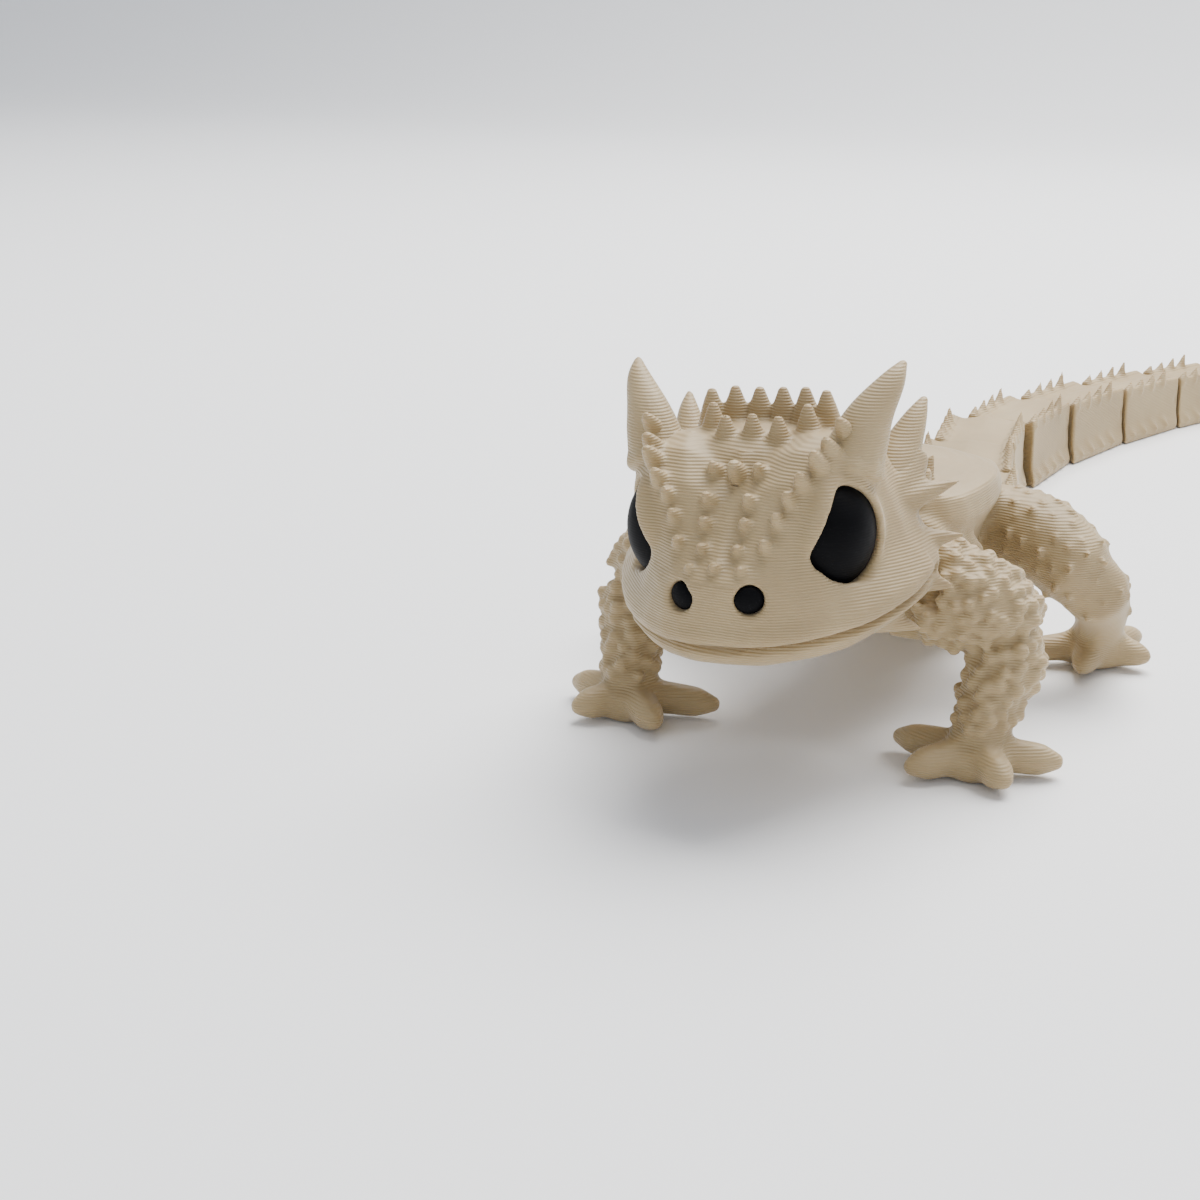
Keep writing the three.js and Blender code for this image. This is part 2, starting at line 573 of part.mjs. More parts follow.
// A dark upright dimple at each end of a seam.
function dimple(pivot, heading, width, height, side) {
  const reach = seamRadius(width);
  const back = Math.sqrt(reach * reach - width * width);
  const a = degrees(heading);
  const x = (width - 0.1) * side;
  const centre = V(
    pivot.x + x * Math.cos(a) + back * Math.sin(a), pivot.y - x * Math.sin(a) + back * Math.cos(a), height * 0.55);
  return ball(centre, 0.95, V(0.8, 0.8, 1.35), 8, 5);
}

function tailPieces(pelvis) {
  const nodes = {};
  let at = V(0, tailStart, 0);
  let parent = pelvis;
  let parentName = "pelvis";
  let parentHeading = 0;
  tailLengths.forEach((length, index) => {
    const heading = tailHeadings[index];
    const width = tailHalfWidth - tailHalfWidthStep * (index - 1);
    const height = tailHeight - tailHeightStep * (index - 1);
    parent = endInArc(parent, at, parentHeading, width, height);
    let child = tailSegment(index, at, heading, length);
    child = startAtArc(child, at, heading, width, height);
    for (const side of [1, -1]) {
      parent = parent.subtract(dimple(at, parentHeading, width, height, side));
      child = child.subtract(dimple(at, heading, width, height, side));
    }
    nodes[parentName] = largest(parent);
    parent = child;
    parentName = `tail_${index + 1}`;
    parentHeading = heading;
    const a = degrees(heading);
    at = at.clone().add(V(Math.sin(a) * length, Math.cos(a) * length, 0));
  });
  nodes[parentName] = largest(parent);
  return nodes;
}

function geometryOf(manifold) {
  const { vertProperties, triVerts, numProp } = manifold.getMesh();
  const positions = new Float32Array((vertProperties.length / numProp) * 3);
  for (let i = 0; i * numProp < vertProperties.length; i += 1)
    for (let k = 0; k < 3; k += 1) positions[3 * i + k] = vertProperties[numProp * i + k];
  const geometry = new THREE.BufferGeometry();
  geometry.setAttribute("position", new THREE.BufferAttribute(positions, 3));
  geometry.setIndex(Array.from(triVerts));
  return geometry;
}

// Slivers finer than the weld are dropped, and what they leave loose goes with them.
function meshOf(name, manifold, material, matrix) {
  const raw = geometryOf(manifold);
  if (matrix) raw.applyMatrix4(matrix);
  const geometry = geometryOf(largest(solid(raw, weld)));
  geometry.computeVertexNormals();
  const mesh = new THREE.Mesh(geometry, material);
  mesh.name = name;
  return mesh;
}

const headNodes = headPieces();
const bodyNodes = bodyPieces();
const tail = tailPieces(bodyNodes.pelvis);
bodyNodes.pelvis = tail.pelvis;
delete tail.pelvis;

const lizard = new THREE.Group();
const isBlack = (name) => name.startsWith("eye") || name.startsWith("nostril");
for (const [name, piece] of Object.entries(headNodes))
  lizard.add(meshOf(name, piece, isBlack(name) ? black : tan, headTurn));
for (const [name, piece] of Object.entries({ ...bodyNodes, ...tail })) lizard.add(meshOf(name, piece, tan));

// The origin moves to the middle of the footprint, on the floor.
const bounds = new THREE.Box3().setFromObject(lizard);
const centre = bounds.getCenter(V());
lizard.position.set(-centre.x, -centre.y, -bounds.min.z);

export default lizard;
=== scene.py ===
import math
import random

import bpy
import numpy as np
import openvdb
from mathutils import Vector, Matrix, Quaternion


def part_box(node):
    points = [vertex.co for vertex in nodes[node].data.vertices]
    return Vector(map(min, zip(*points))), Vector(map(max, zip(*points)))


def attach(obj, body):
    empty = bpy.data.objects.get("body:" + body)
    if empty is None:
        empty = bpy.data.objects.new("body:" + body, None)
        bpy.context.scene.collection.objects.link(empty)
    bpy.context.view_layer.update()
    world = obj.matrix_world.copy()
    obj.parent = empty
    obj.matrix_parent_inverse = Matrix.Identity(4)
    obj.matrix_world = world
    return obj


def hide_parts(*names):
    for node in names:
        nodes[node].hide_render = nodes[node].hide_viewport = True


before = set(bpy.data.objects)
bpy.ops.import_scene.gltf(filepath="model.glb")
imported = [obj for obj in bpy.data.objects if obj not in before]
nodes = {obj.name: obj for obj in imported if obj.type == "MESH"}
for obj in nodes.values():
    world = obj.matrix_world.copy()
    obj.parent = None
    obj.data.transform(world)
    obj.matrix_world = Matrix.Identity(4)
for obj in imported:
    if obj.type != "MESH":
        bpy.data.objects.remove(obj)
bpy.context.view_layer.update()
shift = Vector((0.0, -0.070441, 0.0))  # the drawing's origin in the row frame
mm = 0.001
random.seed(11)
print("frame loaded")

skinValues = {
    "headVoxel": 0.00018,
    "bodyVoxel": 0.0002,
    "tailVoxel": 0.00022,
    "hornVoxel": 0.00016,
    "eyeVoxel": 0.00015,
    "nostrilVoxel": 0.00008,
    "band": 4.0,  # voxels on each side of a surface
    "close": 0.0003,  # hides the CAD's clearances inside one printed piece
    "closeLittle": 0.0001,  # for a piece that is one solid already
    "closeNostril": 0.00004,
    "soften": 3,
}


# points are given in the drawing's millimetres, meshes are in metres; a triangle has its last corner twice
def partPoint(x, y, z):
    return Vector((x, y, z)) * mm + shift


headTurn = (Matrix.Translation(Vector((0, -12 * mm, 17 * mm)) + shift)
            @ Matrix.Rotation(math.radians(-4.3), 4, "Y")
            @ Matrix.Rotation(math.radians(5.9), 4, "X"))


def headPoint(x, y, z):
    return headTurn @ (Vector((x, y, z)) * mm)


def smoothPath(points, count):  # Catmull-Rom through the points
    pts = [points[0] * 2 - points[1]] + list(points) + [points[-1] * 2 - points[-2]]
    out = []
    spans = len(points) - 1
    for i in range(count):
        t = i / (count - 1) * spans
        k = min(int(t), spans - 1)
        u = t - k
        a, b, c, d = pts[k], pts[k + 1], pts[k + 2], pts[k + 3]
        bend, twist = 2 * a - 5 * b + 4 * c - d, 3 * b - a - 3 * c + d
        out.append(0.5 * ((2 * b) + (c - a) * u + bend * u * u + twist * u ** 3))
    return out


def tube(points, radii, sides=10, count=16, closed=False):  # round section along a path
    path = list(points) if closed else smoothPath(points, count)
    n = len(path)
    verts, quads = [], []
    up = Vector((0.13, 0.21, 0.97))
    for i, p in enumerate(path):
        if closed:
            along = (path[(i + 1) % n] - path[i - 1]).normalized()
        else:
            along = (path[min(i + 1, n - 1)] - path[max(i - 1, 0)]).normalized()
        side = along.cross(up).normalized()
        over = side.cross(along).normalized()
        t = i / (n - 1) * (len(radii) - 1)
        k = min(int(t), max(len(radii) - 2, 0))
        r = radii[0] if len(radii) == 1 else radii[k] * (1 - t + k) + radii[k + 1] * (t - k)
        for j in range(sides):
            a = 2 * math.pi * j / sides
            verts.append(p + (side * math.cos(a) + over * math.sin(a)) * r)
    for i in range(n if closed else n - 1):
        for j in range(sides):
            a, b = i * sides + j, i * sides + (j + 1) % sides
            c, d = ((i + 1) % n) * sides + (j + 1) % sides, ((i + 1) % n) * sides + j
            quads.append((a, b, c, d))
    if not closed:
        for ring, first in ((0, True), (n - 1, False)):
            centre = len(verts)
            verts.append(sum((verts[ring * sides + j] for j in range(sides)), Vector()) / sides)
            for j in range(sides):
                a, b = ring * sides + j, ring * sides + (j + 1) % sides
                quads.append((centre, b, a, a) if first else (centre, a, b, b))
    return np.array(verts, np.float32), np.array(quads, np.uint32)


def blob(centre, radii, aim=None, sides=10, rings=6):  # egg whose third radius points along aim
    verts, quads = [Vector((0, 0, -1))], []
    for i in range(1, rings):
        a = math.pi * i / rings
        for j in range(sides):
            b = 2 * math.pi * j / sides
            verts.append(Vector((math.sin(a) * math.cos(b), math.sin(a) * math.sin(b), -math.cos(a))))
    verts.append(Vector((0, 0, 1)))
    for j in range(sides):
        k = (j + 1) % sides
        quads.append((0, 1 + k, 1 + j, 1 + j))
        for i in range(rings - 2):
            a = 1 + i * sides
            quads.append((a + j, a + k, a + sides + k, a + sides + j))
        a = 1 + (rings - 2) * sides
        quads.append((a + j, a + k, len(verts) - 1, len(verts) - 1))
    turn = aim.to_track_quat("Z", "Y") if aim else Quaternion()
    size = Vector(radii)
    return np.array([centre + turn @ (v * size) for v in verts], np.float32), np.array(quads, np.uint32)


def nodeMesh(name):
    mesh = nodes[name].data
    co = np.empty(len(mesh.vertices) * 3, np.float32)
    mesh.vertices.foreach_get("co", co)
    mesh.calc_loop_triangles()
    tri = np.empty(len(mesh.loop_triangles) * 3, np.int32)
    mesh.loop_triangles.foreach_get("vertices", tri)
    tri = tri.reshape(-1, 3).astype(np.uint32)
    return co.reshape(-1, 3), np.column_stack([tri, tri[:, 2]])


def gathered(parts):
    verts, quads, start = [], [], 0
    for v, q in parts:
        verts.append(v)
        quads.append(q + start)
        start += len(v)
    return np.concatenate(verts).astype(np.float32), np.concatenate(quads).astype(np.uint32)


def levelOf(verts, quads, voxel):  # distance to the surface, on a grid
    three = quads[:, 2] == quads[:, 3]
    faces = {}
    if three.any():
        faces["triangles"] = np.ascontiguousarray(quads[three][:, :3])
    if not three.all():
        faces["quads"] = np.ascontiguousarray(quads[~three])
    grid = openvdb.createLinearTransform(voxelSize=voxel)
    band = skinValues["band"]
    return openvdb.FloatGrid.createLevelSetFromPolygons(verts, transform=grid, halfWidth=band, **faces)


def fused(parts, voxel, close):  # one skin round all the parts, with narrow gaps closed
    verts, quads = gathered(parts)
    out, face = levelOf(verts, quads, voxel).convertToQuads(isovalue=close)
    out, face = levelOf(out, face[:, ::-1].astype(np.uint32), voxel).convertToQuads(isovalue=-close)
    return out.astype(np.float64), face[:, ::-1].astype(np.int64)


def withDetail(verts, face, extra, voxel):  # small forms stay crisp on the closed skin
    out, face = levelOf(*gathered([(verts, face)] + extra), voxel).convertToQuads(isovalue=0.0)
    return out.astype(np.float64), face[:, ::-1].astype(np.int64)


def smoothed(verts, face, times, weight=0.5):
    a, b = face.ravel(), np.roll(face, -1, axis=1).ravel()
    count = np.bincount(a, minlength=len(verts)) + np.bincount(b, minlength=len(verts))
    count = np.maximum(count, 1)
    for _ in range(times):
        total = np.zeros_like(verts)
        for k in range(3):
            total[:, k] = np.bincount(a, verts[b, k], len(verts)) + np.bincount(b, verts[a, k], len(verts))
        verts = verts * (1 - weight) + weight * total / count[:, None]
    return verts


def normalsOf(verts, face):
    cross = np.cross(verts[face[:, 2]] - verts[face[:, 0]], verts[face[:, 3]] - verts[face[:, 1]])
    total = np.zeros_like(verts)
    for k in range(4):
        for c in range(3):
            total[:, c] += np.bincount(face[:, k], cross[:, c], len(verts))
    return total / np.maximum(np.linalg.norm(total, axis=1), 1e-20)[:, None]


def makePiece(name, verts, face, material, body, stands):
    mesh = bpy.data.meshes.new(name)
    mesh.vertices.add(len(verts))
    mesh.vertices.foreach_set("co", verts.astype(np.float32).ravel())
    mesh.loops.add(face.size)
    mesh.loops.foreach_set("vertex_index", face.astype(np.int32).ravel())
    mesh.polygons.add(len(face))
    mesh.polygons.foreach_set("loop_start", np.arange(0, face.size, face.shape[1], dtype=np.int32))
    mesh.polygons.foreach_set("loop_total", np.full(len(face), face.shape[1], np.int32))
    mesh.polygons.foreach_set("use_smooth", np.ones(len(face), bool))
    mesh.update(calc_edges=True)
    mesh.validate()
    piece = bpy.data.objects.new(name, mesh)
    bpy.context.scene.collection.objects.link(piece)
    piece.data.materials.append(material)
    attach(piece, body)
    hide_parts(*stands)


# the two printed plastics; the black one is also painted shade in the nostrils
plasticLook = {
    "shade": (0.31, 0.222, 0.108),
    "tan": (0.37, 0.272, 0.138),
    "light": (0.43, 0.325, 0.175),
    "roughness": 0.5,
    "sheen": 0.12,
    "glow": 0.12,  # light that goes a little way into the plastic
    "cloudScale": 95,
    # painted shade in the hollows and painted highlight on edges and tips, by pointiness, and how strongly
    # they are mixed in
    "hollow": (0.66, 0.58, 0.50),
    "edgePaintedHighlight": (1.12, 1.12, 1.14),
    "paintedShadeAndHighlight": 0.8,
    "layerHeight": 0.0002,
    "layerDepth": 0.8,
    "grainScale": 1500,
    "grainDepth": 0.25,
}
blackLook = {
    "dark": (0.001, 0.001, 0.0012),
    "light": (0.004, 0.004, 0.005),
    "roughness": 0.55,
    "specular": 0.06,
    "cloudScale": 500,
    "layerDepth": 0.15,
}
lineRelief = 0.00004  # height of the layer lines' bump
grainRelief = 0.00005


def newPlastic(name):
    mat = bpy.data.materials.new(name)
    mat.use_nodes = True
    tree = mat.node_tree
    place = tree.nodes.new("ShaderNodeTexCoord").outputs["Object"]
    return mat, tree, tree.nodes["Principled BSDF"], place


def noise(tree, place, scale, detail=2):
    cloud = tree.nodes.new("ShaderNodeTexNoise")
    cloud.inputs["Scale"].default_value = scale
    cloud.inputs["Detail"].default_value = detail
    tree.links.new(place, cloud.inputs["Vector"])
    return cloud.outputs["Fac"]


def colours(tree, amount, stops):  # colours along a ramp, at their places
    ramp = tree.nodes.new("ShaderNodeValToRGB")
    first, last = ramp.color_ramp.elements
    for stop, (place, colour) in zip((first, last), (stops[0], stops[-1])):
        stop.position = place
        stop.color = (*colour, 1)
    for place, colour in stops[1:-1]:
        ramp.color_ramp.elements.new(place).color = (*colour, 1)
    tree.links.new(amount, ramp.inputs["Fac"])
    return ramp.outputs["Color"]


def layerLines(tree, place):  # level contours, one for each printed layer
    lines = tree.nodes.new("ShaderNodeTexWave")
    lines.bands_direction = "Z"
    lines.inputs["Scale"].default_value = math.pi / 10 / plasticLook["layerHeight"]
    tree.links.new(place, lines.inputs["Vector"])
    return lines.outputs["Fac"]


def relief(tree, height, strength, distance, below=None):
    bump = tree.nodes.new("ShaderNodeBump")
    bump.inputs["Strength"].default_value = strength
    bump.inputs["Distance"].default_value = distance
    tree.links.new(height, bump.inputs["Height"])
    if below:
        tree.links.new(below, bump.inputs["Normal"])
    return bump.outputs["Normal"]


def printedTan():
    look = plasticLook
    mat, tree, shader, place = newPlastic("printedTanPlastic")
    shader.inputs["Roughness"].default_value = look["roughness"]
    shader.inputs["Specular IOR Level"].default_value = 0.45
    shader.inputs["IOR"].default_value = 1.46
    shader.inputs["Sheen Weight"].default_value = look["sheen"]
    shader.inputs["Sheen Roughness"].default_value = 0.5
    shader.inputs["Subsurface Weight"].default_value = look["glow"]
    shader.inputs["Subsurface Radius"].default_value = (1.0, 0.62, 0.32)
    shader.inputs["Subsurface Scale"].default_value = 0.0012
    cloud = noise(tree, place, look["cloudScale"], 5)
    base = colours(tree, cloud, [(0.3, look["shade"]), (0.52, look["tan"]), (0.75, look["light"])])
    # painted shade and painted highlight: edges and tips are paler, hollows browner
    bent = tree.nodes.new("ShaderNodeNewGeometry").outputs["Pointiness"]
    pointinessShadeAndHighlight = colours(tree, bent, [(0.42, look["hollow"]), (0.49, (1, 1, 1)), (0.56, look["edgePaintedHighlight"])])
    mix = tree.nodes.new("ShaderNodeMix")
    mix.data_type = "RGBA"
    mix.blend_type = "MULTIPLY"
    mix.inputs[0].default_value = look["paintedShadeAndHighlight"]
    tree.links.new(base, mix.inputs[6])
    tree.links.new(pointinessShadeAndHighlight, mix.inputs[7])
    tree.links.new(mix.outputs[2], shader.inputs["Base Color"])
    ridges = relief(tree, layerLines(tree, place), look["layerDepth"], lineRelief)
    grain = noise(tree, place, look["grainScale"])
    normal = relief(tree, grain, look["grainDepth"], grainRelief, ridges)
    tree.links.new(normal, shader.inputs["Normal"])
    return mat


# black for the eyes, and painted shade for the nostril plugs
def printedBlack():
    look = blackLook
    mat, tree, shader, place = newPlastic("printedBlackEyesAndNostrilShade")
    shader.inputs["Roughness"].default_value = look["roughness"]
    shader.inputs["Specular IOR Level"].default_value = look["specular"]
    base = colours(tree, noise(tree, place, look["cloudScale"]), [(0, look["dark"]), (1, look["light"])])
    tree.links.new(base, shader.inputs["Base Color"])
    normal = relief(tree, layerLines(tree, place), look["layerDepth"], lineRelief)
    tree.links.new(normal, shader.inputs["Normal"])
    return mat


tanPlastic = printedTan()
blackEyesAndNostrilShade = printedBlack()
print("plastics mixed")

headValues = {  # millimetres in the head's own frame, from between the nostrils
    "eyeCentre": (5.75, 6.7, 2.6),
    "eyeAim": (0.78, -0.61, 0.06),
    "eyeRadii": (3.50, 3.72, 4.26),
    "eyeOpen": 56,  # degrees from the eye's axis to the lid
    "browCut": 0.69,  # how much of that is left towards the brow
    "browSide": 140,  # degrees round the eye's axis
    "rimPoints": 48,
    "lidRings": [(1.0, 1.09, 0.30), (1.1, 1.03, 0.34), (1.2, 1.09, 0.34),  # spread, lift, thickness
                 (1.3, 1.04, 0.42), (1.4, 1.02, 0.45), (1.5, 1.0, 0.45)],
    "crownMiddle": (0, 10.6, 6.0),
    "crownRadii": (6.7, 4.9, 3.0),
    "crownCones": [(0, 9.0, 10.4), (2.0, 8.9, 10.3), (4.4, 12.4, 11.2),
                   (2.7, 12.8, 11.3), (0.9, 13.0, 11.2), (3.6, 10.6, 10.7)],
    "coneRadii": [1.3, 0.95, 0.62, 0.3],
    "browBumps": [(1.9, 0.2, 1.8), (0, 0.0, 2.07), (3.24, 1.44, 3.36), (1.32, 1.2, 2.99),
                  (3.89, 2.45, 4.95), (1.51, 2.41, 4.51), (4.54, 3.13, 6.3), (1.54, 3.34, 5.95),
                  (1.7, 5.27, 7.53), (0, 5.06, 7.52), (5.38, 3.48, 7.55), (6.21, 4.37, 8.86),
                  (6.7, 5.6, 9.42), (7.27, 7.09, 10.35)],
    "bumpRadii": [0.8, 0.56, 0.27],
    "bumpProud": 0.42,
}
lipValues = {
    "lineY": [-6, 0.8, 5, 9, 12.2],  # the lips' line in side view, back from the nostrils
    "lineZ": [-3.6, -3.65, -3.5, -2.95, -1.95],
    "depth": 0.0006,
    "half": 0.00026,
    "lipRise": 0.0009,
    "lipHalf": 0.0006,
    "lipProud": 0.00012,
    "ridgeProud": 0.00022,
}


def eyeRim(side, grow, lift):  # leaf-shaped opening on the eyeball, cut straight along its upper front
    centre = Vector(headValues["eyeCentre"])
    wide, deep, tall = headValues["eyeRadii"]
    aim = Vector(headValues["eyeAim"]).normalized()
    back = (Vector((0, 1, 0)) - aim * aim.y).normalized()
    up = aim.cross(back)
    if up.z <= 0:
        up = -up
    count = headValues["rimPoints"]
    rim = []
    for i in range(count):
        a = 2 * math.pi * i / count
        spread = headValues["eyeOpen"]
        towards = math.cos(a - math.radians(headValues["browSide"]))
        if towards > 0.3:
            spread = min(spread * 1.02, spread * headValues["browCut"] / towards)
        spread = math.radians(spread) * grow
        ray = aim * math.cos(spread) + (back * math.cos(a) + up * math.sin(a)) * math.sin(spread)
        point = centre + Vector((ray.x * wide, ray.y * deep, ray.z * tall)) * lift
        rim.append(headPoint(side * point.x, point.y, point.z))
    return [(rim[i - 1] + rim[i] * 2 + rim[(i + 1) % count]) / 4 for i in range(count)]


def bothSides(points):  # a point on the middle line stands once, the others on both sides
    for x, y, z in points:
        for side in (1,) if x == 0 else (1, -1):
            yield side, x, y, z


def buildHead():
    parts = [nodeMesh("head"), nodeMesh("lower_jaw")]
    for side in (1, -1):
        for grow, lift, thick in headValues["lidRings"]:
            parts.append(tube(eyeRim(side, grow, lift), [thick * mm], 8, closed=True))
    crown = [r * mm for r in headValues["crownRadii"]]
    parts.append(blob(headPoint(*headValues["crownMiddle"]), crown, None, 24, 14))
    extra = []
    proud = headValues["bumpProud"]
    for side, x, y, z in bothSides(headValues["browBumps"]):
        top = headPoint(side * x, y - proud, z + proud)
        low = headPoint(side * (x - 0.05), y + 0.95, z - 1.1)
        radii = [r * mm for r in headValues["bumpRadii"]]
        extra.append(tube([low, low.lerp(top, 0.6), top], radii, 10, 8))
    for side, x, y, z in bothSides(headValues["crownCones"]):
        drops = ((0.3, 3.2), (0.2, 1.4), (0, 0.1))
        path = [headPoint(side * x, y - forward, z - down) for forward, down in drops]
        extra.append(tube(path, [r * mm for r in headValues["coneRadii"]], 12, 10))
    verts, face = fused(parts, skinValues["headVoxel"], skinValues["close"])
    verts = smoothed(verts, face, 2)
    verts, face = withDetail(verts, face, extra, skinValues["headVoxel"])
    verts = smoothed(verts, face, skinValues["soften"])
    # the lips meet in one long line round the muzzle
    local = np.array(headTurn.inverted()) @ np.column_stack([verts, np.ones(len(verts))]).T
    x, y, z = local[:3] / mm
    off = (z - np.interp(y, lipValues["lineY"], lipValues["lineZ"])) * mm
    groove = np.exp(-(off / lipValues["half"]) ** 2) * (y < 12.4)
    lip = np.exp(-((off - lipValues["lipRise"]) / lipValues["lipHalf"]) ** 2) * (y < 11.5)
    ridge = np.exp(-(x / 0.5) ** 2) * (y > 0.4) * (y < 7) * (z > 0.5)  # faint, down the middle of the brow
    rise = lip * lipValues["lipProud"] - groove * lipValues["depth"] + ridge * lipValues["ridgeProud"]
    verts = verts + normalsOf(verts, face) * rise[:, None]
    makePiece("head_skin", verts, face, tanPlastic, "head", ("head", "lower_jaw"))


hornValues = {
    "horn_": {
        "path": [(7.3, 8.4, 7.0), (8.35, 9.7, 9.9), (9.6, 11.3, 12.0), (10.2, 12.71, 13.2)],
        "radii": [2.3, 1.9, 1.3, 0.78, 0.24],
    },
    "temple_horn_": {
        "path": [(7.8, 14.2, 3.3), (8.3, 16.3, 5.4), (9.0, 18.1, 7.4), (9.4, 19.4, 8.6)],
        "radii": [2.0, 1.7, 1.2, 0.7, 0.24],
    },
}


def buildHorns():
    for side, word in ((1, "left"), (-1, "right")):
        for kind, horn in hornValues.items():
            path = [headPoint(side * x, y, z) for x, y, z in horn["path"]]
            cone = tube(path, [r * mm for r in horn["radii"]], 16, 24)
            verts, face = fused([cone], skinValues["hornVoxel"], skinValues["closeLittle"])
            verts = smoothed(verts, face, 2)
            node = kind + word
            makePiece(node + "_skin", verts, face, tanPlastic, "head", (node,))


# a black plug in each nostril hole is painted shade for the dark inside of the hole
nostrilValues = {
    "at": (2.45, -0.25, 0),
    "aim": (0.4, -0.91, 0.1),
    "radii": (1.1, 1.0, 0.5),
}


def buildEyes():
    for side, word in ((1, "left"), (-1, "right")):
        low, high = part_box("eye_" + word)
        egg = blob((low + high) / 2, (high - low) / 2 * 0.995, None, 48, 32)
        verts, face = fused([egg], skinValues["eyeVoxel"], skinValues["closeLittle"])
        verts = smoothed(verts, face, 4)
        node = "eye_" + word
        makePiece(node + "_ball", verts, face, blackEyesAndNostrilShade, "head", (node,))
        # painted shade: a black plug fills each nostril hole
        x, y, z = nostrilValues["at"]
        across, along, up = nostrilValues["aim"]
        aim = headTurn.to_3x3() @ Vector((across * side, along, up))
        paintedShadowPlug = blob(headPoint(side * x, y, z), [r * mm for r in nostrilValues["radii"]], aim, 24, 14)
        verts, face = fused([paintedShadowPlug], skinValues["nostrilVoxel"], skinValues["closeNostril"])
        verts = smoothed(verts, face, 3)
        node = "nostril_" + word
        makePiece(node + "_plug", verts, face, blackEyesAndNostrilShade, "head", (node,))


buildHead()
buildHorns()
buildEyes()
print("head shaped")

# torso, neck and legs are one printed piece
bodyValues = {  # millimetres; a pair is the least value and what chance adds
    "armBumps": 240,
    "armApart": 0.85,
    "armLowest": 3.9,
    "armRadius": (0.4, 0.25),
    "armLift": 0.06,
    "legBumps": 90,
    "legApart": 1.3,
    "legLowest": 6,
    "legRadius": (0.2, 0.1),
    "shoulderSpikes": 26,
    "spikeX": (0.6, 7.4),
    "spikeY": (9.6, 4.4),
    "spikeZ": 19.3,
    "spikeLean": (0.25, 0.3, 1.0),
    "spikeLength": (2.0, 1.0),
    "spikeRadii": [0.9, 0.6, 0.2],
    "foldPath": [(6.2, 8.4, 18.6), (8.9, 10.2, 16.8), (9.6, 12.6, 14.4)],
    "foldStep": [(0.3, 1.7, -0.7), (0.3, 2.0, -0.5), (0.5, 2.4, -0.3)],  # from one fold to the next
    "foldRadii": [0.6, 0.75, 0.4],
    "thighSide": (8.5, 1.5),  # where the rounding of the thighs starts, and how soon it is full
    "thighBack": (19, 3),
    "thighSoften": 45,
}


def chance(pair):
    return pair[0] + pair[1] * random.random()


def scatter(name, count, keep, spacing):  # chance points on a node, not too near each other
    verts, quads = nodeMesh(name)
    tri = quads[:, :3]
    a, b, c = verts[tri[:, 0]], verts[tri[:, 1]], verts[tri[:, 2]]
    cross = np.cross(b - a, c - a)
    area = np.linalg.norm(cross, axis=1)
    pick = np.random.default_rng(5)
    chosen = []
    for k in pick.choice(len(tri), count * 40, p=area / area.sum()):
        u, v = pick.random(2)
        if u + v > 1:
            u, v = 1 - u, 1 - v
        point = Vector(a[k] + (b[k] - a[k]) * u + (c[k] - a[k]) * v)
        normal = Vector(cross[k]).normalized()
        if keep(point - shift, normal) and all((point - q).length > spacing for q, _ in chosen):
            chosen.append((point, normal))
        if len(chosen) >= count:
            break
    return chosen


def buildBody():
    limbs = ("arm_", "hand_", "leg_", "foot_")
    names = ["neck", "torso", "pelvis"] + [limb + side for limb in limbs for side in ("left", "right")]
    parts = [nodeMesh(name) for name in names]
    armLowest, legLowest = bodyValues["armLowest"] * mm, bodyValues["legLowest"] * mm
    armApart, legApart = bodyValues["armApart"] * mm, bodyValues["legApart"] * mm
    extra = []
    for side in ("left", "right"):
        for p, n in scatter("arm_" + side, bodyValues["armBumps"], lambda q, n: q.z > armLowest, armApart):
            r = chance(bodyValues["armRadius"]) * mm
            extra.append(blob(p + n * bodyValues["armLift"] * mm, (r, r, r * 0.85), n, 10, 6))
        upper = lambda q, n: n.z > -0.2 and q.z > legLowest
        for p, n in scatter("leg_" + side, bodyValues["legBumps"], upper, legApart):
            r = chance(bodyValues["legRadius"]) * mm
            extra.append(blob(p, (r, r * 1.7, r * 0.8), n, 10, 6))
    # a rough tuft of spikes over the shoulders
    outward, along, up = bodyValues["spikeLean"]
    spikeRadii = [r * mm for r in bodyValues["spikeRadii"]]
    for k in range(bodyValues["shoulderSpikes"]):
        side = 1 if k % 2 else -1
        x = side * chance(bodyValues["spikeX"])
        y = chance(bodyValues["spikeY"])
        base = partPoint(x, y, bodyValues["spikeZ"])
        top = base + Vector((outward * side, along, up)) * chance(bodyValues["spikeLength"]) * mm
        parts.append(tube([base, base.lerp(top, 0.5), top], spikeRadii, 7, 6))
    # three folds behind the jaw on each side
    foldRadii = [r * mm for r in bodyValues["foldRadii"]]
    for side in (1, -1):
        for k in range(3):
            path = []
            for at, step in zip(bodyValues["foldPath"], bodyValues["foldStep"]):
                x, y, z = (a + b * k for a, b in zip(at, step))
                path.append(partPoint(side * x, y, z))
            parts.append(tube(path, foldRadii, 8, 12))
    verts, face = fused(parts, skinValues["bodyVoxel"], skinValues["close"])
    verts = smoothed(verts, face, 6)
    # the hind legs are rounder than the solids' flat sides
    place = (verts - np.array(shift)) / mm
    beside, besideSpan = bodyValues["thighSide"]
    behind, behindSpan = bodyValues["thighBack"]
    thigh = np.clip((np.abs(place[:, 0]) - beside) / besideSpan, 0, 1)
    thigh = (thigh * np.clip((place[:, 1] - behind) / behindSpan, 0, 1))[:, None]
    verts = verts * (1 - thigh) + smoothed(verts, face, bodyValues["thighSoften"]) * thigh
    verts, face = withDetail(verts, face, extra, skinValues["bodyVoxel"])
    verts = smoothed(verts, face, 2)
    verts[:, 2] = np.maximum(verts[:, 2], 0)
    makePiece("torso_skin", verts, face, tanPlastic, "torso", tuple(names))


buildBody()
print("body shaped")


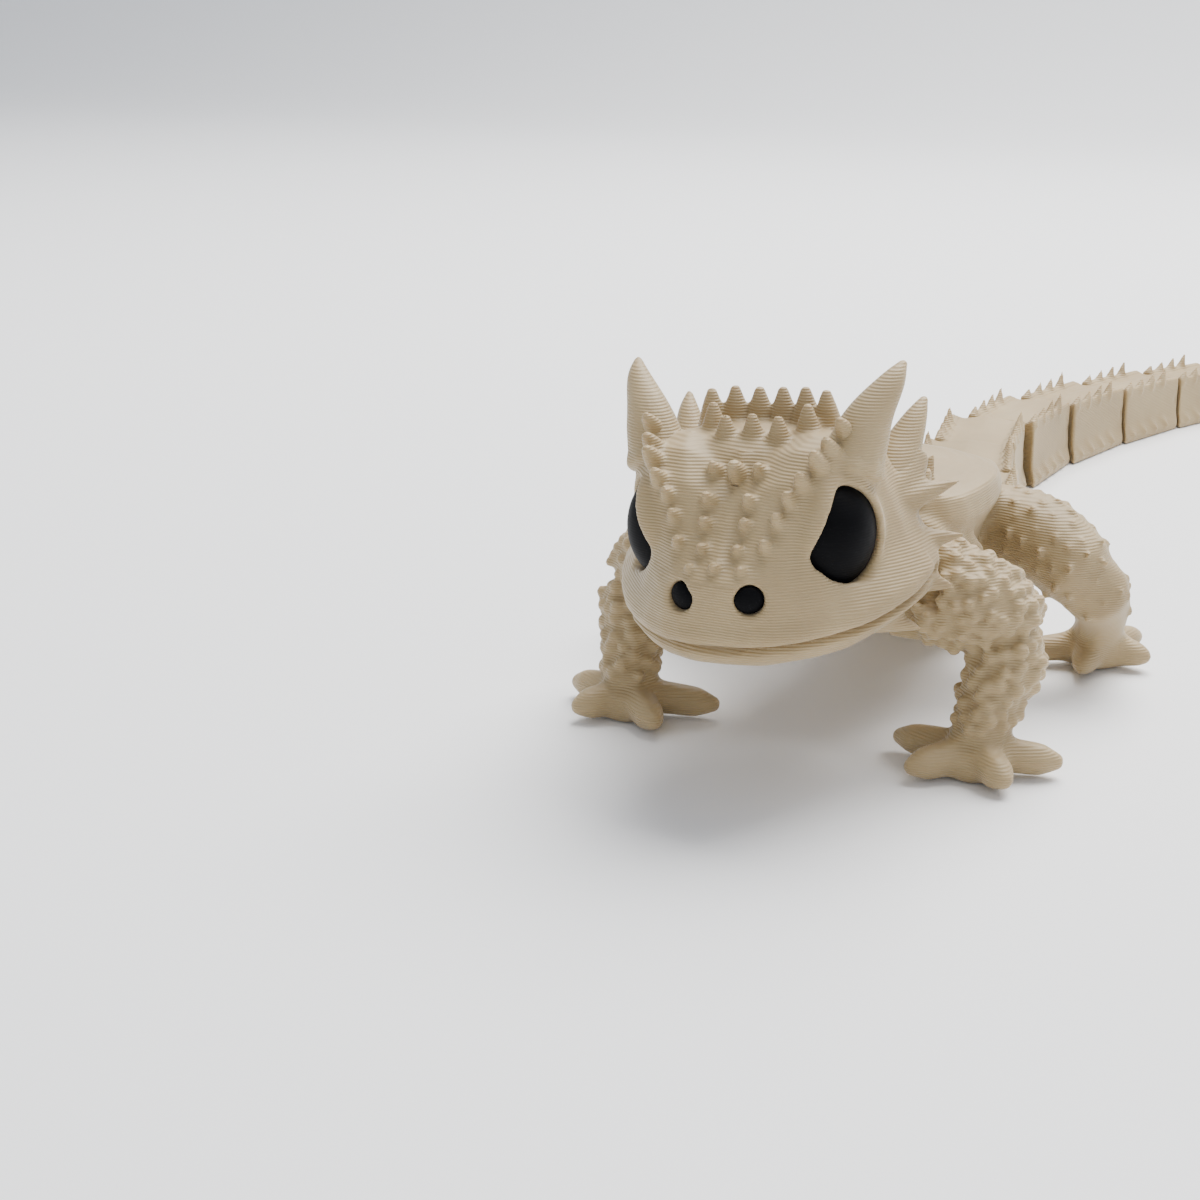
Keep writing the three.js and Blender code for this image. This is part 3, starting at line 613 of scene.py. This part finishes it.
def buildTail():
    for k in range(1, 9):
        node = "tail_%d" % k
        verts, face = fused([nodeMesh(node)], skinValues["tailVoxel"], skinValues["closeLittle"])
        verts = smoothed(verts, face, 2)
        verts[:, 2] = np.maximum(verts[:, 2], 0)
        makePiece(node + "_skin", verts, face, tanPlastic, node, (node,))


buildTail()
print("tail shaped")

studio = {  # metres
    "floor": (0.93, 0.935, 0.945),
    "floorRough": 0.6,
    "floorHalf": 1.4,
    "floorFront": (-0.8, 0.0),
    "floorBack": [(0.35, 0.0), (0.37, 0.0), (0.39, 0.0)],
    "sweepFrom": 0.45,
    "sweepRadius": 0.35,
    "sweepSteps": 12,
    "wallTop": (0.8, 1.4),
    "drop": 0.00001,  # keeps the floor just clear of the feet
    "sky": (0.86, 0.91, 1.0),
    "skyStrength": 0.65,
    "keyPower": 2.2,
    "lens": 60,
    "cameraAt": (0.04955, -0.20365, 0.0592),
    "lookDown": 18,
    "heading": (-0.4346, 0.9006),
}
lampValues = {  # place, aim, size, share of the key power, colour
    "skyPanel": ((0.05, 0.22, 0.5), (0, 0, 0.01), (0.5, 0.5), 4.0, (1, 0.985, 0.96)),
    "frontCard": ((0.25, -0.55, 0.28), (0, -0.03, 0.02), (0.5, 0.35), 0.2, (0.97, 0.98, 1)),
}


def buildFloor():  # a floor that curves up into the wall behind
    verts, quads = [], []
    rows = [studio["floorFront"]] + studio["floorBack"]
    start, radius, steps = studio["sweepFrom"], studio["sweepRadius"], studio["sweepSteps"]
    for i in range(steps + 1):
        a = math.radians(90 * i / steps)
        rows.append((start + radius * math.sin(a), radius * (1 - math.cos(a))))
    rows.append(studio["wallTop"])
    half = studio["floorHalf"]
    for y, z in rows:
        verts += [(-half, y, z - studio["drop"]), (half, y, z - studio["drop"])]
    for i in range(len(rows) - 1):
        quads.append((2 * i, 2 * i + 1, 2 * i + 3, 2 * i + 2))
    mesh = bpy.data.meshes.new("sweep")
    mesh.from_pydata(verts, [], quads)
    for p in mesh.polygons:
        p.use_smooth = True
    sweep = bpy.data.objects.new("sweep", mesh)
    bpy.context.scene.collection.objects.link(sweep)
    mat = bpy.data.materials.new("palePaper")
    mat.use_nodes = True
    shader = mat.node_tree.nodes["Principled BSDF"]
    shader.inputs["Base Color"].default_value = (*studio["floor"], 1)
    shader.inputs["Roughness"].default_value = studio["floorRough"]
    sweep.data.materials.append(mat)


def lamp(name, at, towards, size, share, colour):
    light = bpy.data.lights.new(name, "AREA")
    light.shape = "RECTANGLE"
    light.size, light.size_y = size
    light.energy = studio["keyPower"] * share
    light.color = colour
    lampObject = bpy.data.objects.new(name, light)
    lampObject.location = at
    lampObject.rotation_euler = (Vector(towards) - Vector(at)).to_track_quat("-Z", "Y").to_euler()
    bpy.context.scene.collection.objects.link(lampObject)


def buildStudio():
    world = bpy.data.worlds.new("softRoom")
    bpy.context.scene.world = world
    world.use_nodes = True
    back = world.node_tree.nodes["Background"]
    back.inputs["Color"].default_value = (*studio["sky"], 1)
    back.inputs["Strength"].default_value = studio["skyStrength"]
    for name, values in lampValues.items():
        lamp(name, *values)
    camera = bpy.data.cameras.new("photoView")
    camera.lens = studio["lens"]
    camera.sensor_width = 36
    camera.clip_start = 0.005
    camera.clip_end = 20
    eye = bpy.data.objects.new("photoView", camera)
    eye.location = studio["cameraAt"]
    down = math.radians(studio["lookDown"])
    east, north = studio["heading"]
    aim = Vector((east * math.cos(down), north * math.cos(down), -math.sin(down)))
    eye.rotation_euler = aim.to_track_quat("-Z", "Y").to_euler()
    bpy.context.scene.collection.objects.link(eye)
    bpy.context.scene.camera = eye


buildFloor()
buildStudio()
print("studio ready")
